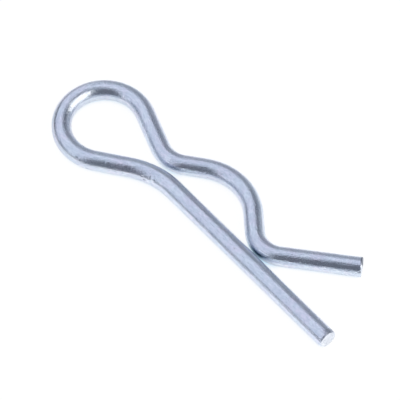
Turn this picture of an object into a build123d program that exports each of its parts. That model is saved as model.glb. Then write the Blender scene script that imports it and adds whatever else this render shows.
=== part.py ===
from build123d import *
from math import cos, radians, sin
import os

# R clip bent from one length of round spring wire, lying flat on its side.
# Millimetres. The wire's centre line lies in the plane z = 0.
# The origin is the centre of the gripped shaft, where it meets the axis of the straight leg.
# +X runs along the straight leg to its free end, +Y points from it to the wavy leg.

# Wire
wire_diameter = 4.0
end_edge_radius = 0.3

# Straight leg, from its free end to the start of the kink
leg_length = 45.9

# Kink, the shallow bend that swings the leg's axis over towards the loop's middle
kink_radius = 16.5
kink_angle = 36.4

# Loop, the round spring eye
loop_inside_radius = 6.48
loop_set_down = 0.51
loop_exit_angle = 20.2

# First waist, between the loop and the hump
first_waist_outside_radius = 8.08
first_waist_height = 3.98

# Hump, the seat that grips the shaft
shaft_half_height = 8.54
hump_inside_radius = 9.39
hump_rise_angle = 38.55
hump_fall_angle = 36.95

# Second waist, which snaps over the shaft
second_waist_outside_radius = 7.87
second_waist_gap = 0.24

# Tail, the flared lead-in
tail_angle = 40.5
tail_length = 16.1

# Centre-line radii and heights that follow from the sizes above
wire_radius = wire_diameter / 2
loop_radius = loop_inside_radius + wire_radius
first_waist_radius = first_waist_outside_radius - wire_radius
second_waist_radius = second_waist_outside_radius - wire_radius
hump_radius = hump_inside_radius + wire_radius
hump_height = shaft_half_height + wire_radius
second_waist_height = wire_diameter + second_waist_gap

# Slopes of the straight stretches between the bends
kink_slope = radians(kink_angle)
loop_exit_slope = radians(loop_exit_angle)
hump_rise_slope = radians(hump_rise_angle)
hump_fall_slope = radians(hump_fall_angle)

# Heights of the centre line where each bend starts or ends
kink_end_height = -kink_radius * (1 - cos(kink_slope))
loop_entry_height = -loop_set_down - loop_radius * cos(kink_slope)
loop_exit_height = -loop_set_down + loop_radius * cos(loop_exit_slope)
first_waist_entry_height = first_waist_height + first_waist_radius * (1 - cos(loop_exit_slope))
first_waist_exit_height = first_waist_height + first_waist_radius * (1 - cos(hump_rise_slope))
hump_entry_height = hump_height - hump_radius * (1 - cos(hump_rise_slope))
hump_exit_height = hump_height - hump_radius * (1 - cos(hump_fall_slope))
second_waist_entry_height = second_waist_height + second_waist_radius * (1 - cos(hump_fall_slope))

# Straight stretches, each as long as the drop or rise between its two bends needs
loop_lead_length = (kink_end_height - loop_entry_height) / sin(kink_slope)
loop_exit_length = (loop_exit_height - first_waist_entry_height) / sin(loop_exit_slope)
rise_length = (hump_entry_height - first_waist_exit_height) / sin(hump_rise_slope)
fall_length = (hump_exit_height - second_waist_entry_height) / sin(hump_fall_slope)

# Distances along X, counted back from the hump's centre to the kink
hump_entry_x = -hump_radius * sin(hump_rise_slope)
first_waist_exit_x = hump_entry_x - rise_length * cos(hump_rise_slope)
first_waist_span = first_waist_radius * (sin(hump_rise_slope) + sin(loop_exit_slope))
first_waist_entry_x = first_waist_exit_x - first_waist_span
loop_exit_x = first_waist_entry_x - loop_exit_length * cos(loop_exit_slope)
loop_centre_x = loop_exit_x - loop_radius * sin(loop_exit_slope)
loop_entry_x = loop_centre_x + loop_radius * sin(kink_slope)
kink_end_x = loop_entry_x + loop_lead_length * cos(kink_slope)
kink_start_x = kink_end_x + kink_radius * sin(kink_slope)
leg_end_x = kink_start_x + leg_length

# Turn of each bend, a left turn positive
loop_turn = -(180 + kink_angle + loop_exit_angle)
first_waist_turn = loop_exit_angle + hump_rise_angle
hump_turn = -(hump_rise_angle + hump_fall_angle)
second_waist_turn = hump_fall_angle + tail_angle

with BuildPart() as clip:
    # Centre line from the straight leg's free end round to the tip of the tail
    with BuildLine(Plane.XY) as centre_line:
        leg = Line((leg_end_x, 0), (kink_start_x, 0))
        kink = JernArc(leg @ 1, leg % 1, kink_radius, kink_angle)
        loop_lead = PolarLine(kink @ 1, loop_lead_length, direction=kink % 1)
        loop = JernArc(loop_lead @ 1, loop_lead % 1, loop_radius, loop_turn)
        loop_exit = PolarLine(loop @ 1, loop_exit_length, direction=loop % 1)
        first_waist = JernArc(loop_exit @ 1, loop_exit % 1, first_waist_radius, first_waist_turn)
        rise = PolarLine(first_waist @ 1, rise_length, direction=first_waist % 1)
        hump = JernArc(rise @ 1, rise % 1, hump_radius, hump_turn)
        fall = PolarLine(hump @ 1, fall_length, direction=hump % 1)
        second_waist = JernArc(fall @ 1, fall % 1, second_waist_radius, second_waist_turn)
        tail = PolarLine(second_waist @ 1, tail_length, direction=second_waist % 1)

    # Round wire carried along the centre line
    with BuildSketch(Plane(origin=leg @ 0, z_dir=leg % 0)) as wire_section:
        Circle(wire_radius)
    sweep()

    # Edges of the two sheared end faces, rolled over by the cut
    end_faces = clip.faces().filter_by(GeomType.PLANE)
    fillet(end_faces.edges(), radius=end_edge_radius)

os.makedirs("parts", exist_ok=True)
clip.part.label = "clip"
export_step(clip.part, "parts/clip.step")
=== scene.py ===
"""A hitch R clip of bright zinc plated spring wire, lying on a white studio sweep.

The clip is one length of round wire, so the scene has one piece: the wire's surface is
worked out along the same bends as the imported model, with its sheared ends, its flattened
bends and the marks that the bending tools left, and is then given its plated finish.
"""

import logging
import math
from dataclasses import dataclass, field
from enum import Enum

import bpy
import numpy as np
from bpy.types import ID, Material, Node, NodeSocket as Socket, NodeTree, Object, World
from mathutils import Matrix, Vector

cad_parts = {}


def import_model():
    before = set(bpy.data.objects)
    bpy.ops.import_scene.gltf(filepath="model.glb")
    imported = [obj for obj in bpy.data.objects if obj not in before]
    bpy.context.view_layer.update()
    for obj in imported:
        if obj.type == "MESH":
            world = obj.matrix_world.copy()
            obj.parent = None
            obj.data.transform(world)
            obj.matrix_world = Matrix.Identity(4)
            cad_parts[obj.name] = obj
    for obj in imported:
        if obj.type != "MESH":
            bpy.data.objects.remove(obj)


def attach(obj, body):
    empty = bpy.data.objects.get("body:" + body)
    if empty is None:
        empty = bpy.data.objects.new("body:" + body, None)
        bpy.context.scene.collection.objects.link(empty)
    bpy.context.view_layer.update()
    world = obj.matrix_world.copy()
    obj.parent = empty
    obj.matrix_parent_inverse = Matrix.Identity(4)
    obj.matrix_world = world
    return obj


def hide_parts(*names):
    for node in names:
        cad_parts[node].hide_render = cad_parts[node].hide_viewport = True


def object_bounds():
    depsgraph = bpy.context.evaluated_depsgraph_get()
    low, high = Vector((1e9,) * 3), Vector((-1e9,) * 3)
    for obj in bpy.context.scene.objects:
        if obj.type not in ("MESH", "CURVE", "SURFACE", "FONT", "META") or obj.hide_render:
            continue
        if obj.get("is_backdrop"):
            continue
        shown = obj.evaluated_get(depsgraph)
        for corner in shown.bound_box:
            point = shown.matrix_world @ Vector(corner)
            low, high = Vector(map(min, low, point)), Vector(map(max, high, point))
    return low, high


LOG = logging.getLogger("r_clip")
MM = 0.001

Colour = tuple[float, float, float]
# What feeds a node's input: another node's output, or a plain value.
Feed = Socket | float | tuple[float, ...]
Feeds = dict[str | int, Feed]


def eased(share: np.ndarray) -> np.ndarray:
    """Rounds off a ramp from nothing to one: three times its square less twice its cube."""
    return share * share * (3.0 - 2.0 * share)


def placed(name: str, data: ID) -> Object:
    """Makes an object of a mesh or a camera and links it to the scene."""
    thing = bpy.data.objects.new(name, data)
    bpy.context.scene.collection.objects.link(thing)
    return thing


class Turn(Enum):
    """Which way a stretch of the wire turns, seen from above, going from the leg to the tail."""

    STRAIGHT = 0
    LEFT = 1
    RIGHT = -1


@dataclass(frozen=True)
class Stretch:
    """One straight or one bend of the centre line, in millimetres and degrees.

    size is the length of a straight or the radius of a bend.
    """

    name: str
    turn: Turn
    size: float
    angle: float = 0.0

    @property
    def length(self) -> float:
        """Length along the centre line: its own size, or radius times angle for a bend."""
        return self.size if self.turn is Turn.STRAIGHT else self.size * math.radians(self.angle)

    @property
    def curvature(self) -> float:
        """One over the radius: nothing on a straight, positive for a left turn."""
        return self.turn.value / self.size


@dataclass
class CentreLine:
    """The clip's centre line, from the straight leg's free end round to the tail's tip.

    The sizes are the part's own, in millimetres and degrees. The plane is z = 0, the origin
    is the gripped shaft's centre and the straight leg runs along +X to its free end.
    """

    wire_radius: float = 2.0
    leg_length: float = 45.9
    kink_radius: float = 16.5
    kink_angle: float = 36.4
    loop_inside_radius: float = 6.48
    loop_set_down: float = 0.51
    loop_exit_angle: float = 20.2
    first_waist_outside_radius: float = 8.08
    first_waist_height: float = 3.98
    shaft_half_height: float = 8.54
    hump_inside_radius: float = 9.39
    hump_rise_angle: float = 38.55
    hump_fall_angle: float = 36.95
    second_waist_outside_radius: float = 7.87
    second_waist_gap: float = 0.24
    tail_angle: float = 40.5
    tail_length: float = 16.1
    stretches: list[Stretch] = field(init=False)
    curvatures: np.ndarray = field(init=False)
    starts: np.ndarray = field(init=False)
    headings: np.ndarray = field(init=False)
    corners: np.ndarray = field(init=False)

    def __post_init__(self) -> None:
        """Works out the stretches and where each one starts."""
        self.stretches = self._stretches()
        lengths = np.array([s.length for s in self.stretches])
        self.curvatures = np.array([s.curvature for s in self.stretches])
        self.starts = np.concatenate([[0.0], np.cumsum(lengths)])
        self.headings = math.pi + np.concatenate([[0.0], np.cumsum(self.curvatures * lengths)])
        steps = self._step(self.headings[:-1], self.curvatures, lengths)
        path = np.concatenate([[[0.0, 0.0]], np.cumsum(steps, axis=0)])
        self.corners = path + [self._leg_end_x(path), 0.0]

    @property
    def length(self) -> float:
        """Whole length of the wire along its centre line, in millimetres."""
        return float(self.starts[-1])

    @property
    def hump_radius(self) -> float:
        """Radius of the hump's centre line, in millimetres."""
        return self.hump_inside_radius + self.wire_radius

    def _stretches(self) -> list[Stretch]:
        """Lists the stretches in order.

        A straight between two bends is as long as the height between them, divided by the
        sine of its slope.

        Returns:
            The eleven stretches, from the leg to the tail.
        """
        slopes = (self.kink_angle, self.loop_exit_angle, self.hump_rise_angle, self.hump_fall_angle)
        drop, exit_, rise, fall = (math.radians(slope) for slope in slopes)
        loop_r = self.loop_inside_radius + self.wire_radius
        waist_1_r = self.first_waist_outside_radius - self.wire_radius
        waist_2_r = self.second_waist_outside_radius - self.wire_radius
        hump_top = self.shaft_half_height + self.wire_radius
        waist_2 = 2 * self.wire_radius + self.second_waist_gap
        kink_end = -self.kink_radius * (1 - math.cos(drop))
        loop_in = -self.loop_set_down - loop_r * math.cos(drop)
        loop_out = -self.loop_set_down + loop_r * math.cos(exit_)
        waist_1_in = self.first_waist_height + waist_1_r * (1 - math.cos(exit_))
        waist_1_out = self.first_waist_height + waist_1_r * (1 - math.cos(rise))
        hump_in = hump_top - self.hump_radius * (1 - math.cos(rise))
        hump_out = hump_top - self.hump_radius * (1 - math.cos(fall))
        waist_2_in = waist_2 + waist_2_r * (1 - math.cos(fall))
        return [
            Stretch("leg", Turn.STRAIGHT, self.leg_length),
            Stretch("kink", Turn.LEFT, self.kink_radius, self.kink_angle),
            Stretch("loop_lead", Turn.STRAIGHT, (kink_end - loop_in) / math.sin(drop)),
            Stretch("loop", Turn.RIGHT, loop_r, 180 + self.kink_angle + self.loop_exit_angle),
            Stretch("loop_exit", Turn.STRAIGHT, (loop_out - waist_1_in) / math.sin(exit_)),
            Stretch("first_waist", Turn.LEFT, waist_1_r, self.loop_exit_angle + self.hump_rise_angle),
            Stretch("rise", Turn.STRAIGHT, (hump_in - waist_1_out) / math.sin(rise)),
            Stretch("hump", Turn.RIGHT, self.hump_radius, self.hump_rise_angle + self.hump_fall_angle),
            Stretch("fall", Turn.STRAIGHT, (hump_out - waist_2_in) / math.sin(fall)),
            Stretch("second_waist", Turn.LEFT, waist_2_r, self.hump_fall_angle + self.tail_angle),
            Stretch("tail", Turn.STRAIGHT, self.tail_length),
        ]

    @staticmethod
    def _step(heading: np.ndarray, curvature: np.ndarray, run: np.ndarray) -> np.ndarray:
        """Moves some way along stretches.

        On a bend the point moves by the chord of the arc turned so far: x by the difference
        of the sines of the headings over the curvature, y by that of the cosines. On a
        straight it moves by its length in the direction of the heading.

        Args:
            heading: Direction at the start of each stretch, in radians.
            curvature: Signed curvature of each stretch, per millimetre.
            run: How far along each, in millimetres.

        Returns:
            The steps in x and y, in millimetres, one row per stretch.
        """
        end = heading + curvature * run
        bent = curvature != 0.0
        safe = np.where(bent, curvature, 1.0)
        step_x = np.where(bent, (np.sin(end) - np.sin(heading)) / safe, run * np.cos(heading))
        step_y = np.where(bent, (np.cos(heading) - np.cos(end)) / safe, run * np.sin(heading))
        return np.stack([step_x, step_y], axis=1)

    def _index(self, name: str) -> int:
        """Place of a named stretch in the list."""
        return [s.name for s in self.stretches].index(name)

    def _leg_end_x(self, path: np.ndarray) -> float:
        """Works out where the leg ends, so that the hump's centre is at x = 0.

        The hump starts to the left of its centre by its radius times the sine of the rise.

        Args:
            path: Starts of the stretches, counted from the leg's free end.

        Returns:
            The x of the leg's free end, in millimetres.
        """
        hump_start = -self.hump_radius * math.sin(math.radians(self.hump_rise_angle))
        return float(hump_start - path[self._index("hump"), 0])

    def place_on(self, name: str, share: float = 0.0) -> float:
        """Distance along the wire to a share of the way through a stretch, in millimetres."""
        index = self._index(name)
        return float(self.starts[index] + share * self.stretches[index].length)

    def at(self, along: np.ndarray) -> tuple[np.ndarray, np.ndarray, np.ndarray]:
        """Gives places on the centre line: the start of a stretch, plus the step along it.

        Args:
            along: Distances from the leg's free end, in millimetres, kept within the wire.

        Returns:
            Points in x and y, headings in radians and signed curvatures, one row per distance.
        """
        along = np.clip(along, 0.0, self.length)
        index = np.searchsorted(self.starts[1:-1], along, side="right")
        curvature, heading = self.curvatures[index], self.headings[index]
        run = along - self.starts[index]
        points = self.corners[index] + self._step(heading, curvature, run)
        return points, heading + curvature * run, curvature


@dataclass(frozen=True)
class ToolMark:
    """A shallow dent that a bending tool or a knock left in the wire's surface.

    along and half_length are along the wire and depth is into it, in millimetres; a depth
    below nothing raises the surface. around and half_width are angles about the wire, in
    degrees, from its left side over the top.
    """

    along: float
    around: float
    depth: float
    half_length: float
    half_width: float

    def dent(self, along: np.ndarray, around: np.ndarray) -> np.ndarray:
        """Depth of the dent over the surface.

        One minus the squares of the two distances, each over its half size, kept at or above
        nothing and eased, times the depth.

        Args:
            along: Distance along the wire of each point, in millimetres.
            around: Angle about the wire of each point, in radians.

        Returns:
            How far each point moves in towards the centre line, in millimetres.
        """
        gap = np.angle(np.exp(1j * (around - math.radians(self.around))))
        far = ((along - self.along) / self.half_length) ** 2
        wide = (gap / math.radians(self.half_width)) ** 2
        return self.depth * eased(np.clip(1.0 - far - wide, 0.0, 1.0))


@dataclass(frozen=True)
class ShearedEnd:
    """A wire end cut by a shear: rolled over where the blade went in, burred where it came out.

    Lengths are in millimetres and angles in degrees, about the wire from its left side over
    the top. The blade went in at entry, where the edge is rolled over by roll_over, and by
    least_roll on the far side. reach is the run of the roll over its depth, and focus gathers
    the deep part at the entry. burr_bite is the depth of the tear at the burr. rub is the
    share of the plating rubbed off at rub_around, from none where the cosine off that angle
    is rub_low to all of it at rub_high.
    """

    entry: float
    roll_over: float
    least_roll: float
    reach: float
    focus: float
    corner: float = 0.035
    tilt: float = 1.0
    hollow: float = 0.05
    grain: float = 0.012
    grain_waves: float = 9.1
    grain_sway: float = 2.3
    sway_waves: float = 3.7
    burr_bite: float = 0.0
    burr_from: float = 0.72
    burr_curve: float = 1.5
    rub: float = 0.0
    rub_around: float = 55.0
    rub_low: float = 0.55
    rub_high: float = 0.75
    roll_rings: int = 10
    corner_rings: int = 4
    face_rings: int = 12

    def rubbed(self, around: np.ndarray) -> np.ndarray:
        """How far the plating is rubbed off the edge: a ramp of the cosine off its middle."""
        towards = np.cos(around - math.radians(self.rub_around))
        share = (towards - self.rub_low) / (self.rub_high - self.rub_low)
        return self.rub * np.clip(share, 0.0, 1.0)

    def profile(self, radius: float, around: np.ndarray) -> tuple[np.ndarray, np.ndarray]:
        """Rings from the wire's side over the rolled edge and across the face to its middle.

        The rolled edge is a parabola that sinks to its depth over a run of its reach times
        that depth; the depth swells towards the blade's entry side as a half cosine raised to
        the focus. A tight round corner takes its last slope on to the face. The face slopes
        back from the burr side to the entry side, is hollowed by a paraboloid and has a grain
        of crossed sines that grows with the distance from the entry side.

        Args:
            radius: The wire's radius, in millimetres.
            around: Angles about the wire, in radians.

        Returns:
            Ring radii and distances back from the cut plane, each with one row per ring and
            one column per angle, in millimetres.
        """
        towards = np.cos(around - math.radians(self.entry))
        swell = (0.5 + 0.5 * towards) ** self.focus
        roll = self.least_roll + (self.roll_over - self.least_roll) * swell
        last_slope = math.atan(2.0 / self.reach)
        step = np.linspace(0.0, 1.0, self.roll_rings + 1)[:, None]
        roll_r = radius - roll * step**2
        roll_back = self.corner * (1.0 - math.sin(last_slope)) + roll * self.reach * (1.0 - step)
        turned = np.linspace(last_slope, math.pi / 2, self.corner_rings + 1)[1:, None]
        corner_r = roll_r[-1:] + self.corner * (np.cos(turned) - math.cos(last_slope))
        corner_back = np.broadcast_to(self.corner * (1.0 - np.sin(turned)), corner_r.shape)
        share = np.linspace(1.0, 0.0, self.face_rings + 1)[1:-1, None]
        face_r = corner_r[-1:] * share
        across = face_r * towards
        sway = self.grain_sway * np.sin(self.sway_waves * face_r * np.sin(around))
        ripple = np.sin(self.grain_waves * across + sway)
        torn = 0.5 - 0.5 * across / radius
        face_back = (1 - share**2) * self.hollow + self.grain * torn * (1.0 + ripple)
        r = np.concatenate([roll_r, corner_r, face_r])
        back = np.concatenate([roll_back, corner_back, face_back])
        lean = math.tan(math.radians(self.tilt)) * (radius + r * towards)
        torn_off = np.clip(-towards * r / radius - self.burr_from, 0.0, 1.0) ** self.burr_curve
        return r, back + lean + self.burr_bite * torn_off


@dataclass
class SpringWire:
    """The clip itself: one bent round wire, made as a grid of rings along the centre line.

    Lengths are in millimetres. crowding is how many more rings stand at a short tool mark
    than elsewhere. The flats on the bends start and stop over ease_width. The waviness is
    wave deep, with its waves along the wire and its twists about it. Shade is painted on to
    the wire where it lies in a crevice between stretches that are nook_apart along the wire:
    full where the gap is nook_closed, and gone where it is nook_open.
    """

    line: CentreLine = field(default_factory=CentreLine)
    rings: int = 780
    segments: int = 112
    crowding: float = 3.0
    crowd_reach: float = 1.6
    crowd_steps: int = 4000
    short_mark: float = 2.0
    skin: float = 0.006
    bend_flat: float = 0.5
    ease_width: float = 1.2
    ease_steps: int = 9
    wave: float = 0.006
    waves: tuple[float, float] = (0.61, 0.23)
    twists: tuple[float, float] = (1.7, 2.0)
    nook_apart: float = 15.0
    nook_closed: float = 0.25
    nook_open: float = 0.85
    nook_step: float = 0.8
    name: str = "bent_wire"
    slot_name: str = "zinc_plate"

    def marks(self) -> list[ToolMark]:
        """The dents that the photo shows or that the forming tools of such a clip leave."""
        line = self.line
        kink, waist, tail = (line.place_on(name) for name in ("kink", "second_waist", "tail"))
        tip = line.length
        return [
            # Tool marks at the kink.
            ToolMark(kink + 7.0, 29, 0.05, 0.45, 5),
            ToolMark(kink + 6.5, 4, -0.08, 0.5, 10),
            ToolMark(kink + 5.9, 14, 0.07, 0.45, 8),
            ToolMark(kink + 7.2, -6, 0.05, 0.4, 8),
            ToolMark(kink + 5.1, 42, 0.05, 0.14, 12),
            ToolMark(kink + 4.4, 38, -0.06, 0.65, 10),
            ToolMark(kink + 2.9, 35, 0.04, 0.25, 6),
            # Scuffs at the second waist.
            ToolMark(waist + 1.2, 52, 0.03, 0.3, 24),
            ToolMark(waist + 1.9, 46, 0.02, 0.22, 20),
            ToolMark(waist + 1.1, 92, 0.03, 0.35, 8),
            # Nicks at the tail's tip, and one further up.
            ToolMark(tip - 0.1, 120, 0.06, 0.2, 6),
            ToolMark(tip - 0.15, 150, 0.1, 0.25, 7),
            ToolMark(tip - 0.5, 156, 0.06, 0.25, 6),
            ToolMark(tip - 0.95, 163, 0.05, 0.3, 6),
            ToolMark(tail + 9.0, 162, 0.05, 0.35, 10),
            # Faint flats from the bending pins, inside the loop and the hump.
            ToolMark(line.place_on("loop", 0.5), 180, 0.03, 3.2, 30),
            ToolMark(line.place_on("hump", 0.5), 180, 0.03, 2.4, 26),
            # Small dents on the straight leg.
            ToolMark(line.place_on("leg", 0.31), 64, 0.03, 0.32, 9),
            ToolMark(line.place_on("leg", 0.78), 118, 0.03, 0.5, 7),
        ]

    def ends(self) -> tuple[ShearedEnd, ShearedEnd]:
        """The two sheared ends, the leg's and the tail's."""
        leg = ShearedEnd(
            entry=45.0, roll_over=0.2, least_roll=0.1, reach=5.5, focus=1.0,
            rub=0.5, rub_around=122.0, rub_low=0.6, rub_high=0.9,
        )
        tail = ShearedEnd(
            entry=64.0, roll_over=0.13, least_roll=0.03, reach=2.2, focus=5.0,
            burr_bite=0.2, rub=1.0,
        )
        return leg, tail

    def radius(self, along: np.ndarray, around: np.ndarray) -> np.ndarray:
        """Distance of the surface from the centre line.

        The wire's radius, less a thin skin so that nothing stands outside the model, less a
        flat on the outer side of each bend that grows with the square of the wire's radius
        over the bend's, less the tool marks and a slow waviness of a few microns. The bend's
        curvature is a mean under a bell curve, so that a flat starts and stops softly.

        Args:
            along: Distance along the wire of each point, in millimetres.
            around: Angle about the wire of each column, in radians, from the left side.

        Returns:
            The radius at each point, in millimetres.
        """
        base = self.line.wire_radius
        steps = np.linspace(-2.0, 2.0, self.ease_steps)
        weight = np.exp(-0.5 * steps**2)
        weight /= weight.sum()
        nearby = along[:, :1] + self.ease_width * steps[None, :]
        curvature = self.line.at(nearby.ravel())[2].reshape(nearby.shape)
        curve = (curvature * weight).sum(axis=1)[:, None]
        outward = np.clip(-np.sign(curve) * np.cos(around), 0.0, 1.0)
        flat = self.bend_flat * base * (base * curve) ** 2 * outward**2
        slow = np.sin(self.waves[0] * along + self.twists[0] * np.sin(around))
        wavy = slow * np.sin(self.waves[1] * along + self.twists[1] * around)
        dents = sum(mark.dent(along, around) for mark in self.marks())
        return base - self.skin - flat - self.wave * (0.5 + 0.5 * wavy) - dents

    def _ring_shares(self) -> np.ndarray:
        """Spaces the rings along the wire, closer together at the short tool marks.

        The number of rings up to a place grows with the integral of one plus a bell curve for
        each mark, and that running total is turned round to give the place of each ring.

        Returns:
            Shares of the wire's length, from nothing to one.
        """
        fine = np.linspace(0.0, self.line.length, self.crowd_steps)
        short = [mark.along for mark in self.marks() if mark.half_length < self.short_mark]
        bells = np.exp(-(((fine[:, None] - np.array(short)) / self.crowd_reach) ** 2))
        density = 1.0 + self.crowding * bells.max(axis=1)
        total = np.concatenate([[0.0], np.cumsum(0.5 * (density[1:] + density[:-1]))])
        return np.interp(np.linspace(0.0, total[-1], self.rings), total, fine) / self.line.length

    def surface(self) -> tuple[np.ndarray, np.ndarray, np.ndarray]:
        """Works out every point of the wire.

        A point is the centre line's point, plus the radius times the cosine of the angle along
        the left normal, plus the radius times the sine of the angle upwards. At the ends the
        rings shrink over the rolled edge and across the cut face.

        Returns:
            Points in metres, each point's place in the wire as it was before bending, in metres,
            and how far its plating is rubbed off, all with one row per ring and one column per
            angle.
        """
        base = self.line.wire_radius
        around = np.linspace(0.0, 2 * math.pi, self.segments, endpoint=False)
        leg, tail = self.ends()
        leg_r, leg_back = leg.profile(base, around)
        tail_r, tail_back = tail.profile(base, around)
        tail_along = self.line.length - tail_back
        side = leg_back[0] + (tail_along[0] - leg_back[0]) * self._ring_shares()[1:-1, None]
        along = np.concatenate([leg_back[::-1], side, tail_along])
        scale = np.concatenate([leg_r[::-1], np.full(side.shape, base), tail_r])
        radius = scale * self.radius(along, around) / base
        rubbed = np.zeros(along.shape)
        rubbed[: len(leg_r)] = leg.rubbed(around)
        rubbed[-len(tail_r):] = tail.rubbed(around)
        spots, heading, _ = self.line.at(along.ravel())
        spots = spots.reshape(along.shape + (2,))
        heading = heading.reshape(along.shape)
        left, up = radius * np.cos(around), radius * np.sin(around)
        x = spots[..., 0] - np.sin(heading) * left
        y = spots[..., 1] + np.cos(heading) * left
        return np.stack([x, y, up], axis=-1) * MM, np.stack([along, left, up], axis=-1) * MM, rubbed

    def painted_crevice_shade(self, points: np.ndarray, along: np.ndarray) -> np.ndarray:
        """Painted shade: how deep each point lies in a crevice between two stretches of the wire.

        The gap is the distance to the nearest place on the centre line that is well away from
        the point along the wire, less the wire's radius. The share eases from one where the
        gap is closed to nothing where it is open.

        Args:
            points: Points of the surface, in metres.
            along: Distance along the wire of each point, in millimetres.

        Returns:
            The share for each point, from nothing to one.
        """
        x, y, z = np.moveaxis(points / MM, -1, 0)
        places = np.arange(0.0, self.line.length, self.nook_step)
        gap = np.full(along.shape, np.inf)
        for place, (centre_x, centre_y) in zip(places, self.line.at(places)[0]):
            off = np.sqrt((x - centre_x) ** 2 + (y - centre_y) ** 2 + z**2)
            apart = np.abs(along - place) > self.nook_apart
            gap = np.where(apart, np.minimum(gap, off - self.line.wire_radius), gap)
        share = (self.nook_open - gap) / (self.nook_open - self.nook_closed)
        return eased(np.clip(share, 0.0, 1.0))

    def build(self) -> Object:
        """Makes the mesh: quads between rings, and a fan of triangles to one pole at each end.

        Returns:
            The wire's object, at the origin, with its place in its mesh.
        """
        points, unbent, rubbed = self.surface()
        # How much shade is painted on each point in the wire's crevices.
        painted_crevice_shade = self.painted_crevice_shade(points, unbent[..., 0] / MM)
        rings, segments = rubbed.shape
        here = np.arange(segments)
        after = (here + 1) % segments
        ring = np.arange(rings - 1)[:, None] * segments
        ahead = ring + segments
        quads = np.stack([ahead + here, ahead + after, ring + after, ring + here], axis=-1)
        last = ring[-1] + segments
        pole = np.full(segments, rings * segments)
        leg_fan = np.stack([here, after, pole], axis=-1)
        tail_fan = np.stack([last + after, last + here, pole + 1], axis=-1)
        faces = [*quads.reshape(-1, 4).tolist(), *leg_fan.tolist(), *tail_fan.tolist()]
        verts, place = (
            np.concatenate([grid.reshape(-1, 3), grid[[0, -1]].mean(axis=1)])
            for grid in (points, unbent)
        )
        mesh = bpy.data.meshes.new(self.name)
        mesh.from_pydata(verts.tolist(), [], faces)
        stored = mesh.attributes.new("unbent", "FLOAT_VECTOR", "POINT")
        stored.data.foreach_set("vector", place.ravel())
        # The crevice share is shade painted on to the wire; the rubbed share is plating worn off the
        # cut edges.
        for name, share in (("rubbed", rubbed), ("painted_crevice_shade", painted_crevice_shade)):
            stored = mesh.attributes.new(name, "FLOAT", "POINT")
            stored.data.foreach_set("value", np.append(share, [0.0, 0.0]))
        # The two cut faces, the tail's with both fans after it, take the second material slot.
        leg, tail = self.ends()
        slots = np.zeros(len(faces), dtype=np.int32)
        slots[: (leg.face_rings - 1) * segments] = 1
        slots[-(tail.face_rings + 1) * segments:] = 1
        mesh.polygons.foreach_set("material_index", slots)
        mesh.update()
        mesh.shade_smooth()
        return placed(self.name, mesh)

    def dress(self, wire: Object, plate: Material, cut: Material) -> None:
        """Puts the plated finish on the wire and the cut finish on its two end faces."""
        wire.data.materials.append(plate)
        wire.data.materials.append(cut)


@dataclass(frozen=True)
class Stain:
    """A colour laid over the one below it, and its share where its mask is full."""

    colour: Colour
    share: float


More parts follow.
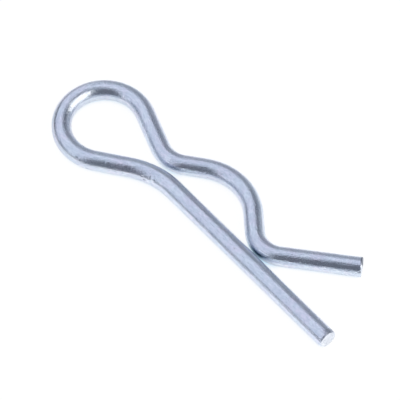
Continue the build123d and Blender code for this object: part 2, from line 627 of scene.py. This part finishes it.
@dataclass(frozen=True)
class Nodes:
    """A short way to write the nodes of one tree, laid out in a row."""

    tree: NodeTree
    width: float = 180.0

    @classmethod
    def blank(cls, owner: Material | World) -> "Nodes":
        """Switches the nodes of a material or the world on, empties them and starts there."""
        owner.use_nodes = True
        owner.node_tree.nodes.clear()
        return cls(owner.node_tree)

    def add(self, kind: str, feeds: Feeds | None = None, **settings: object) -> Node:
        """Adds a node.

        Args:
            kind: The node's type name.
            feeds: What feeds its inputs, by an input's name or number.
            settings: Properties of the node by name.

        Returns:
            The new node, placed to the right of the last one.
        """
        node = self.tree.nodes.new(kind)
        for key, value in settings.items():
            setattr(node, key, value)
        for key, value in (feeds or {}).items():
            self.feed(node.inputs[key], value)
        node.location.x = self.width * len(self.tree.nodes)
        return node

    def first(self, kind: str, feeds: Feeds | None = None, **settings: object) -> Socket:
        """Adds a node as add does and returns its first output."""
        return self.add(kind, feeds, **settings).outputs[0]

    def feed(self, socket: Socket, value: Feed) -> None:
        """Links an output to an input, or sets it: a plain colour then gets its alpha of one."""
        if isinstance(value, Socket):
            self.tree.links.new(value, socket)
        else:
            socket.default_value = (*value, 1.0) if socket.type == "RGBA" else value

    def math(self, kind: str, *values: Feed, clamp: bool = False) -> Socket:
        """Adds a Math node on numbers or sockets and returns its output."""
        return self.first("ShaderNodeMath", dict(enumerate(values)), operation=kind, use_clamp=clamp)

    def vector(self, kind: str, *values: Feed) -> Socket:
        """Adds a Vector Math node that gives a vector and returns that output."""
        return self.first("ShaderNodeVectorMath", dict(enumerate(values)), operation=kind)

    def measure(self, kind: str, *values: Feed) -> Socket:
        """Adds a Vector Math node that gives a number and returns that output."""
        node = self.add("ShaderNodeVectorMath", dict(enumerate(values)), operation=kind)
        return node.outputs["Value"]

    def ramp(
        self, value: Feed, low: float, high: float, to_low: float = 0.0, to_high: float = 1.0,
        smooth: bool = True,
    ) -> Socket:
        """Adds a Map Range node.

        Args:
            value: The number or socket to map.
            low: Input that gives to_low.
            high: Input that gives to_high.
            to_low: Output at low.
            to_high: Output at high.
            smooth: Whether the step eases in and out.

        Returns:
            The mapped value's socket.
        """
        feeds = dict(enumerate((value, low, high, to_low, to_high)))
        easing = "SMOOTHSTEP" if smooth else "LINEAR"
        return self.first("ShaderNodeMapRange", feeds, interpolation_type=easing)

    def mix(self, share: Feed, below: Feed, above: Feed) -> Socket:
        """Adds a colour Mix node that lays a share of one colour over another."""
        return self.add("ShaderNodeMix", {0: share, 6: below, 7: above}, data_type="RGBA").outputs[2]

    def noise(self, place: Socket, scale: Feed, detail: float, roughness: float = 0.5) -> Socket:
        """Adds a Noise Texture node in three dimensions and returns its value."""
        feeds = {"Vector": place, "Scale": scale, "Detail": detail, "Roughness": roughness}
        return self.first("ShaderNodeTexNoise", feeds, noise_dimensions="3D")

    def total(self, first: Socket, *parts: tuple[Socket, float]) -> Socket:
        """Adds parts to a first socket, each times its own weight, and returns the sum."""
        for part, weight in parts:
            first = self.math("ADD", first, self.math("MULTIPLY", part, weight))
        return first

    def stained(self, colour: Feed, *stains: tuple[Socket, Stain]) -> Feed:
        """Lays stains over a colour in order, each by its mask times its share."""
        for mask, stain in stains:
            colour = self.mix(self.math("MULTIPLY", mask, stain.share), colour, stain.colour)
        return colour

    def group(self, tree: NodeTree, vector: Socket, **values: float) -> Node:
        """Places a shared group, fed by a vector and by its own values by name."""
        return self.add("ShaderNodeGroup", {"Vector": vector, **values}, node_tree=tree)

    def attribute(self, name: str, output: str = "Fac") -> Socket:
        """Adds a node that reads one of the wire's attributes and returns one of its outputs."""
        return self.add("ShaderNodeAttribute", attribute_name=name).outputs[output]

    def metal(self, colour: Feed, rough: Feed, height: Feed, relief: float) -> None:
        """Ends a metal finish with its shader and the material's output.

        Args:
            colour: The metal's colour.
            rough: Its roughness.
            height: Its fine relief, as a plain number.
            relief: How far a height of one stands out, in metres.
        """
        bump = self.first("ShaderNodeBump", {"Strength": 1.0, "Distance": relief, "Height": height})
        feeds = {"Metallic": 1.0, "Base Color": colour, "Roughness": rough, "Normal": bump}
        self.add("ShaderNodeOutputMaterial", {0: self.first("ShaderNodeBsdfPrincipled", feeds)})


def new_group(
    name: str, inputs: tuple[str, ...], outputs: tuple[str, ...]
) -> tuple[Nodes, list[Socket], Node]:
    """Starts a shader node group that takes a Vector and numbers, and puts numbers out.

    Args:
        name: The group's name.
        inputs: Names of its inputs after Vector.
        outputs: Names of its outputs.

    Returns:
        The group's nodes, the sockets of Vector and the inputs, and the output node.
    """
    tree = bpy.data.node_groups.new(name, "ShaderNodeTree")
    tree.interface.new_socket(name="Vector", in_out="INPUT", socket_type="NodeSocketVector")
    for in_out, labels in (("INPUT", inputs), ("OUTPUT", outputs)):
        for label in labels:
            tree.interface.new_socket(name=label, in_out=in_out, socket_type="NodeSocketFloat")
    nodes = Nodes(tree)
    source = nodes.add("NodeGroupInput")
    sockets = [source.outputs[label] for label in ("Vector", *inputs)]
    return nodes, sockets, nodes.add("NodeGroupOutput")


def grain_group() -> NodeTree:
    """Lines and grain stretched along the wire.

    The unbent place is multiplied by one scale along the wire and another across it, and a
    noise there gives long soft lines; a second, broader noise makes some of them stronger
    than others.

    Returns:
        A group with Vector, Along, Across and Unevenness in, and Height and Mask out.
    """
    labels = ("Along", "Across", "Unevenness")
    nodes, sources, sink = new_group("drawn_grain", labels, ("Height", "Mask"))
    vector, along, across, unevenness = sources
    broader = (0.7, 0.3, 0.3)
    strong_from, strong_to = 0.42, 0.66
    line_from, line_to = 0.52, 0.72
    scale = nodes.first("ShaderNodeCombineXYZ", {0: along, 1: across, 2: across})
    place = nodes.vector("MULTIPLY", vector, scale)
    fine = nodes.noise(place, 1.0, detail=3.0, roughness=0.6)
    broad = nodes.noise(nodes.vector("MULTIPLY", place, broader), 1.0, detail=2.0)
    strong = nodes.ramp(broad, strong_from, strong_to)
    mask = nodes.math("MULTIPLY", nodes.ramp(fine, line_from, line_to), strong)
    uneven = nodes.math("MULTIPLY", strong, unevenness)
    keep = nodes.math("ADD", uneven, nodes.math("SUBTRACT", 1.0, unevenness))
    height = nodes.math("MULTIPLY", nodes.math("SUBTRACT", fine, 0.5), keep)
    nodes.feed(sink.inputs["Height"], height)
    nodes.feed(sink.inputs["Mask"], mask)
    return nodes.tree


def mottle_group() -> NodeTree:
    """Cloudy unevenness of a thin metal coat: one noise, its output eased between two levels.

    Returns:
        A group with Vector and Scale in, and Value out, from nothing to one.
    """
    nodes, (vector, scale), sink = new_group("coat_mottle", ("Scale",), ("Value",))
    cloud_from, cloud_to = 0.34, 0.68
    noise = nodes.noise(vector, scale, detail=5.0, roughness=0.62)
    nodes.feed(sink.inputs["Value"], nodes.ramp(noise, cloud_from, cloud_to))
    return nodes.tree


def pit_group() -> NodeTree:
    """Scattered pits: the nearest seed of a cell pattern, cut to a disc, kept in some cells only.

    Returns:
        A group with Vector, Scale, Size and Rarity in, and Mask out, one in a pit's middle.
    """
    nodes, sources, sink = new_group("coat_pits", ("Scale", "Size", "Rarity"), ("Mask",))
    vector, scale, size, rarity = sources
    feeds = {"Vector": vector, "Scale": scale}
    cells = nodes.add("ShaderNodeTexVoronoi", feeds, voronoi_dimensions="3D", feature="F1").outputs
    off = nodes.math("DIVIDE", cells["Distance"], size)
    disc = nodes.math("SUBTRACT", 1.0, off, clamp=True)
    chance = nodes.first("ShaderNodeSeparateColor", {0: cells["Color"]})
    kept = nodes.math("GREATER_THAN", chance, rarity)
    nodes.feed(sink.inputs["Mask"], nodes.math("MULTIPLY", disc, kept))
    return nodes.tree


@dataclass(frozen=True)
class Groups:
    """The node groups that the finishes share."""

    grain: NodeTree
    mottle: NodeTree
    pits: NodeTree

    @classmethod
    def made(cls) -> "Groups":
        """Builds each group once."""
        return cls(grain_group(), mottle_group(), pit_group())


@dataclass(frozen=True)
class ZincPlate:
    """Bright zinc plate over drawn spring wire.

    The stains, and the shade painted into the crevices, lie over the colour in the order of
    their fields. relief is in metres, and the other reliefs are shares of it: a pit's is below
    nothing because it goes in.
    """

    colour: Colour = (0.80, 0.86, 0.905)
    lilac: Stain = Stain((0.83, 0.79, 0.88), 0.95)
    cloud: Stain = Stain((0.56, 0.63, 0.72), 0.5)
    speck: Stain = Stain((0.56, 0.63, 0.72), 0.64)
    line: Stain = Stain((0.44, 0.47, 0.54), 0.7)
    pit: Stain = Stain((0.26, 0.29, 0.34), 0.8)
    # Painted shade: darkens the wire in the crevices between its stretches.
    painted_crevice_shade: Stain = Stain((0.17, 0.28, 0.35), 0.85)
    rubbed: Stain = Stain((0.24, 0.25, 0.29), 0.8)
    drawn_out: tuple[float, float, float] = (0.4, 1.0, 1.0)
    smoothest: float = 0.09
    roughest: float = 0.29
    line_roughness: float = 0.12
    rubbed_roughness: float = 0.3
    relief: float = 0.031 * MM
    line_relief: float = 1.5
    hair_relief: float = 0.6
    chatter_relief: float = 0.9
    speck_relief: float = 0.35
    cloud_relief: float = 0.6
    pit_relief: float = -0.9

    def make(self, groups: Groups) -> Material:
        """Builds the material.

        Args:
            groups: The shared node groups.

        Returns:
            The plated finish.
        """
        material = bpy.data.materials.new("zinc_plate")
        nodes = Nodes.blank(material)
        unbent = nodes.attribute("unbent", "Vector")
        drawn = nodes.vector("MULTIPLY", unbent, self.drawn_out)
        lines = nodes.group(groups.grain, unbent, Along=45.0, Across=2600.0, Unevenness=0.7).outputs
        chatter = nodes.group(groups.grain, unbent, Along=3300.0, Across=420.0, Unevenness=0.8)
        hairs = nodes.group(groups.grain, unbent, Along=160.0, Across=7500.0, Unevenness=0.3)
        tint = nodes.group(groups.mottle, unbent, Scale=320.0).outputs[0]
        cloud = nodes.group(groups.mottle, drawn, Scale=900.0).outputs[0]
        speck = nodes.group(groups.mottle, drawn, Scale=3000.0).outputs[0]
        pits = nodes.group(groups.pits, drawn, Scale=1200.0, Size=0.17, Rarity=0.8).outputs[0]
        # Painted shade in the crevices, and plating rubbed off the cut edges.
        painted_crevice_shade, rubbed = nodes.attribute("painted_crevice_shade"), nodes.attribute("rubbed")
        colour = nodes.stained(
            self.colour,
            (tint, self.lilac),
            (cloud, self.cloud),
            (speck, self.speck),
            (lines["Mask"], self.line),
            (pits, self.pit),
            (painted_crevice_shade, self.painted_crevice_shade),
            (rubbed, self.rubbed),
        )
        rough = nodes.total(
            nodes.ramp(speck, 0.0, 1.0, self.smoothest, self.roughest, smooth=False),
            (lines["Mask"], self.line_roughness),
            (rubbed, self.rubbed_roughness),
        )
        height = nodes.total(
            nodes.math("MULTIPLY", lines["Height"], self.line_relief),
            (hairs.outputs["Height"], self.hair_relief),
            (chatter.outputs["Height"], self.chatter_relief),
            (speck, self.speck_relief),
            (cloud, self.cloud_relief),
            (pits, self.pit_relief),
        )
        nodes.metal(colour, rough, height, self.relief)
        return material


@dataclass(frozen=True)
class ShearedSteel:
    """Plated end face of a sheared wire, with the shear's fine torn grain.

    The far side of the tail's face, where the blade went in, is burnished and barely plated,
    so it stays dark: from nothing at burnish_low along burnish_axis to all of it at
    burnish_high. tail_from is a place along the wire past which only the tail's face lies.
    Lengths are in metres, and pit_relief is a share of relief.
    """

    tail_from: float = 80.0 * MM
    burnish_low: float = 0.0
    burnish_high: float = 0.6 * MM
    burnish_axis: tuple[float, float, float] = (0.0, 0.84, 0.54)
    burnish_colour: Colour = (0.17, 0.185, 0.22)
    colour: Colour = (0.83, 0.85, 0.88)
    cloud: Stain = Stain((0.62, 0.65, 0.70), 0.4)
    pit: Stain = Stain((0.62, 0.65, 0.70), 0.5)
    smoothest: float = 0.32
    roughest: float = 0.55
    relief: float = 0.03 * MM
    pit_relief: float = -0.6

    def make(self, groups: Groups) -> Material:
        """Builds the material.

        Args:
            groups: The shared node groups.

        Returns:
            The cut finish.
        """
        material = bpy.data.materials.new("sheared_end")
        nodes = Nodes.blank(material)
        unbent = nodes.attribute("unbent", "Vector")
        tears = nodes.group(groups.grain, unbent, Along=900.0, Across=1900.0, Unevenness=0.4)
        cloud = nodes.group(groups.mottle, unbent, Scale=1500.0).outputs[0]
        pits = nodes.group(groups.pits, unbent, Scale=2200.0, Size=0.25, Rarity=0.7).outputs[0]
        colour = nodes.stained(self.colour, (cloud, self.cloud), (pits, self.pit))
        along = nodes.first("ShaderNodeSeparateXYZ", {0: unbent})
        on_tail = nodes.math("GREATER_THAN", along, self.tail_from)
        far_side = nodes.measure("DOT_PRODUCT", unbent, self.burnish_axis)
        burnished = nodes.ramp(far_side, self.burnish_low, self.burnish_high)
        share = nodes.math("MULTIPLY", on_tail, burnished)
        colour = nodes.mix(share, colour, self.burnish_colour)
        rough = nodes.ramp(cloud, 0.0, 1.0, self.smoothest, self.roughest, smooth=False)
        height = nodes.total(tears.outputs["Height"], (pits, self.pit_relief))
        nodes.metal(colour, rough, height, self.relief)
        return material


@dataclass(frozen=True)
class PhotoCamera:
    """The photo's viewpoint: a long lens, far off and well above the clip.

    azimuth and elevation are in degrees, and the distance and the clipping range in metres.
    photo_width is the photo's width and height in pixels, pixels_per_mm its scale at the
    clip, and origin_column and origin_row the pixel where the origin is seen.
    """

    azimuth: float = 49.42
    elevation: float = 56.5
    distance: float = 2.0
    nearest: float = 0.1
    farthest: float = 20.0
    sensor: float = 36.0
    photo_width: float = 400.0
    pixels_per_mm: float = 5.119
    origin_column: float = 198.5
    origin_row: float = 213.8

    def make(self) -> Object:
        """Places the camera and makes it the scene's own.

        It looks at the origin and is then shifted, so that the origin is seen off the middle.

        Returns:
            The camera's object.
        """
        a, e = math.radians(self.azimuth), math.radians(self.elevation)
        back = Vector((math.sin(a) * math.cos(e), -math.cos(a) * math.cos(e), math.sin(e)))
        side = Vector((math.cos(a), math.sin(a), 0.0))
        above = back.cross(side)
        middle = self.photo_width / 2
        right = (middle - self.origin_column) / self.pixels_per_mm * MM
        up = (self.origin_row - middle) / self.pixels_per_mm * MM
        frame_width = self.photo_width / self.pixels_per_mm * MM
        data = bpy.data.cameras.new("photo_camera")
        data.sensor_width = self.sensor
        data.lens = self.sensor * self.distance / frame_width
        data.clip_start, data.clip_end = self.nearest, self.farthest
        camera = placed("photo_camera", data)
        camera.location = back * self.distance + side * right + above * up
        camera.rotation_mode = "QUATERNION"
        camera.rotation_quaternion = (-back).to_track_quat("-Z", "Y")
        bpy.context.scene.camera = camera
        return camera


@dataclass(frozen=True)
class SoftPanel:
    """A soft light panel or dark flag far round the clip, as a patch of the studio's walls.

    azimuth is in degrees round from the camera's own side, positive to its right, and
    elevation above the floor; the half sizes and the softness of the edge are in degrees too.
    """

    azimuth: float
    half_width: float
    elevation: float
    half_height: float
    softness: float
    colour: Colour


@dataclass(frozen=True)
class Studio:
    """The white sweep under the clip and the soft light round it.

    Azimuths are in degrees, the camera's in the clip's own frame and the others from the
    camera's side, and lengths in metres. The seen shade is the contact shadow's colour to
    the eye, and the nook shade its colour in the metal; each comes in over its two levels of
    openness. The pool is a pool of light painted on to the sweep's paint and sheen, which
    falls to pool_least far off.
    """

    camera_azimuth: float
    wall: Colour = (0.165, 0.18, 0.22)
    sweep_size: float = 8.0
    sweep_glow: float = 0.93
    sweep_sheen: float = 0.50
    sweep_paint: float = 0.95
    sweep_thin: float = 0.15
    sweep_index: float = 1.45
    sweep_rough: float = 0.24
    seen_shade: Colour = (0.42, 0.68, 0.92)
    seen_levels: tuple[float, float] = (0.02, 0.36)
    nook_shade: Colour = (0.30, 0.43, 0.52)
    nook_levels: tuple[float, float] = (0.08, 0.38)
    shade_reach: float = 3.0 * MM
    shade_samples: int = 8
    pool_azimuth: float = 75.0
    pool_off: float = 18.0 * MM
    pool_near: float = 32.0 * MM
    pool_far: float = 105.0 * MM
    pool_least: float = 0.5
    panels: tuple[SoftPanel, ...] = (
        # The dim horizon and the low walls.
        SoftPanel(-15, 66, 2, 5, 8, (0.24, 0.265, 0.32)),
        SoftPanel(180, 60, 19, 20, 9, (0.43, 0.46, 0.53)),
        SoftPanel(125, 26, 12, 8, 10, (0.46, 0.50, 0.60)),
        SoftPanel(-95, 41, 18, 11, 9, (0.46, 0.50, 0.62)),
        # The ceiling and the pale walls to the left and behind.
        SoftPanel(10, 100, 86, 13, 8, (0.51, 0.55, 0.66)),
        SoftPanel(-110, 68, 54, 37, 9, (0.76, 0.81, 0.95)),
        SoftPanel(170, 36, 69, 19, 12, (0.82, 0.86, 1.01)),
        # Dark flags to the far left and the far right.
        SoftPanel(-130, 18, 3, 12, 6, (0.13, 0.145, 0.185)),
        SoftPanel(134, 20, 40, 15, 9, (0.175, 0.195, 0.24)),
        SoftPanel(158, 16, 25, 10, 9, (0.33, 0.355, 0.42)),
        # A small bright spot to the left, and a dim strip beside the window.
        SoftPanel(-58, 8, 18.5, 5, 4.5, (1.4, 1.44, 1.54)),
        SoftPanel(44, 19, 33, 30, 8, (0.28, 0.30, 0.36)),
        # The bright window to the right, in three overlapping parts.
        SoftPanel(72, 30, 31.5, 28.5, 5, (1.7, 1.7, 1.7)),
        SoftPanel(75, 36, 43, 11, 5, (1.7, 1.7, 1.7)),
        SoftPanel(68, 16, 50, 13.5, 5, (1.7, 1.7, 1.7)),
    )

    def _level(self, azimuth: float) -> tuple[float, float, float]:
        """Level direction at an azimuth from the camera's side, in the clip's own frame."""
        turn = math.radians(self.camera_azimuth - 90.0 + azimuth)
        return math.cos(turn), math.sin(turn), 0.0

    def light(self) -> None:
        """Makes the world: plain walls with the panels laid over them in order."""
        world = bpy.data.worlds.new("studio")
        bpy.context.scene.world = world
        nodes = Nodes.blank(world)
        toward = nodes.add("ShaderNodeTexCoord").outputs["Generated"]
        level = nodes.vector("NORMALIZE", nodes.vector("MULTIPLY", toward, (1.0, 1.0, 0.0)))
        split = nodes.add("ShaderNodeSeparateXYZ", {0: nodes.vector("NORMALIZE", toward)})
        rise = nodes.math("ARCSINE", split.outputs["Z"])
        colour: Feed = self.wall
        for panel in self.panels:
            colour = nodes.mix(self._panel_mask(nodes, panel, level, rise), colour, panel.colour)
        background = nodes.first("ShaderNodeBackground", {"Color": colour})
        nodes.add("ShaderNodeOutputWorld", {0: background})

    def _panel_mask(self, nodes: Nodes, panel: SoftPanel, level: Socket, rise: Socket) -> Socket:
        """Share of a panel seen in a direction.

        One inside the panel's half width and half height, easing to nothing over its
        softness, for the angle round from the panel's middle and the angle above it.

        Args:
            nodes: The world's nodes.
            panel: The panel.
            level: Socket of the direction, laid level.
            rise: Socket of the direction's angle above the floor, in radians.

        Returns:
            The mask's socket.
        """
        along = nodes.measure("DOT_PRODUCT", level, self._level(panel.azimuth))
        kept = nodes.math("MINIMUM", nodes.math("MAXIMUM", along, -1.0), 1.0)
        over = nodes.math("ABSOLUTE", nodes.math("SUBTRACT", rise, math.radians(panel.elevation)))
        wide, tall, soft = np.radians((panel.half_width, panel.half_height, panel.softness)).tolist()
        share_round = nodes.ramp(nodes.math("ARCCOSINE", kept), wide - soft, wide + soft, 1.0, 0.0)
        share_over = nodes.ramp(over, tall - soft, tall + soft, 1.0, 0.0)
        return nodes.math("MULTIPLY", share_round, share_over)

    def lay_sweep(self, height: float) -> Object:
        """Lays the sweep just under the clip.

        Args:
            height: The clip's lowest height, in metres.

        Returns:
            The sweep's object.
        """
        sides = (-self.sweep_size / 2, self.sweep_size / 2)
        corners = [(x, y, height) for y in sides for x in sides]
        mesh = bpy.data.meshes.new("sweep")
        mesh.from_pydata(corners, [], [(0, 1, 3, 2)])
        mesh.materials.append(self._sweep_material())
        sweep = placed("sweep", mesh)
        sweep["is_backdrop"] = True
        return sweep

    def _shadow_tone(self, nodes: Nodes, eye: Socket, mirrored: Socket) -> Socket:
        """White, with the contact shadow's colour to the eye and another in the metal.

        Args:
            nodes: The sweep's nodes.
            eye: One where the camera looks straight at the sweep.
            mirrored: One where the metal mirrors it.

        Returns:
            The tone's socket.
        """
        feeds = {"Distance": self.shade_reach}
        near = nodes.add("ShaderNodeAmbientOcclusion", feeds, samples=self.shade_samples)
        tone: Feed = (1.0, 1.0, 1.0)
        for ray, levels, shade in (
            (eye, self.seen_levels, self.seen_shade),
            (mirrored, self.nook_levels, self.nook_shade),
        ):
            closed = nodes.ramp(near.outputs["AO"], *levels, 1.0, 0.0)
            tone = nodes.mix(nodes.math("MULTIPLY", ray, closed), tone, shade)
        return tone

    def _painted_light_pool(self, nodes: Nodes) -> Socket:
        """Painted pool of light on the sweep: one in the pool, easing to its least far off."""
        middle = tuple(self.pool_off * part for part in self._level(self.pool_azimuth))
        place = nodes.add("ShaderNodeTexCoord").outputs["Object"]
        off = nodes.measure("DISTANCE", place, middle)
        return nodes.ramp(off, self.pool_near, self.pool_far, 1.0, self.pool_least)

    def _sweep_material(self) -> Material:
        """White paper that reads as pure white to the eye and keeps a faint shadow.

        The camera sees a glow over a thin paint. The metal mirrors a sheen over a fuller
        paint, under a glaze, and both are dimmed by a pool of light painted on the sweep.

        Returns:
            The sweep's finish.
        """
        material = bpy.data.materials.new("white_sweep")
        nodes = Nodes.blank(material)
        path = nodes.add("ShaderNodeLightPath").outputs
        eye = path["Is Camera Ray"]
        mirrored = nodes.math("MAXIMUM", path["Is Glossy Ray"], path["Is Transmission Ray"])
        tone = self._shadow_tone(nodes, eye, mirrored)
        # A pool of light painted on to the sweep's paint and sheen, dimmer far off.
        dim = self._painted_light_pool(nodes)
        painted = nodes.math("MULTIPLY", dim, self.sweep_paint)
        white = nodes.first("ShaderNodeCombineColor", {0: painted, 1: painted, 2: painted})
        paint = nodes.first("ShaderNodeBsdfDiffuse", {"Color": white})
        thin = nodes.first("ShaderNodeBsdfDiffuse", {"Color": (self.sweep_thin,) * 3})
        lit = nodes.first("ShaderNodeMixShader", {0: eye, 1: paint, 2: thin})
        sheen = nodes.math("MULTIPLY", nodes.math("MULTIPLY", mirrored, dim), self.sweep_sheen)
        strength = nodes.math("MULTIPLY_ADD", eye, self.sweep_glow, sheen)
        glow = nodes.first("ShaderNodeEmission", {"Color": tone, "Strength": strength})
        bright = nodes.first("ShaderNodeAddShader", {0: glow, 1: lit})
        glaze = nodes.first("ShaderNodeFresnel", {"IOR": self.sweep_index})
        share = nodes.math("MULTIPLY", glaze, nodes.math("SUBTRACT", 1.0, eye))
        gloss = nodes.first("ShaderNodeBsdfGlossy", {"Roughness": self.sweep_rough})
        glazed = nodes.first("ShaderNodeMixShader", {0: share, 1: bright, 2: gloss})
        nodes.add("ShaderNodeOutputMaterial", {0: glazed})
        return material


def main() -> None:
    """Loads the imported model, builds the wire round it, and sets the studio up."""
    logging.basicConfig(level=logging.INFO, format="%(name)s: %(message)s")
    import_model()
    cad_low, cad_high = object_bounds()
    bpy.context.scene.view_settings.view_transform = "Standard"

    camera = PhotoCamera()
    camera.make()
    wire = SpringWire()
    bent_wire = wire.build()
    groups = Groups.made()
    wire.dress(bent_wire, ZincPlate().make(groups), ShearedSteel().make(groups))
    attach(bent_wire, "root")
    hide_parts("clip")
    faces = len(bent_wire.data.polygons)
    LOG.info("%s: %d faces, %.1f mm of wire", bent_wire.name, faces, wire.line.length)

    studio = Studio(camera.azimuth)
    studio.light()
    studio.lay_sweep(cad_low.z)
    LOG.info("studio: %d panels round a white sweep", len(studio.panels))


if __name__ == "__main__":
    main()
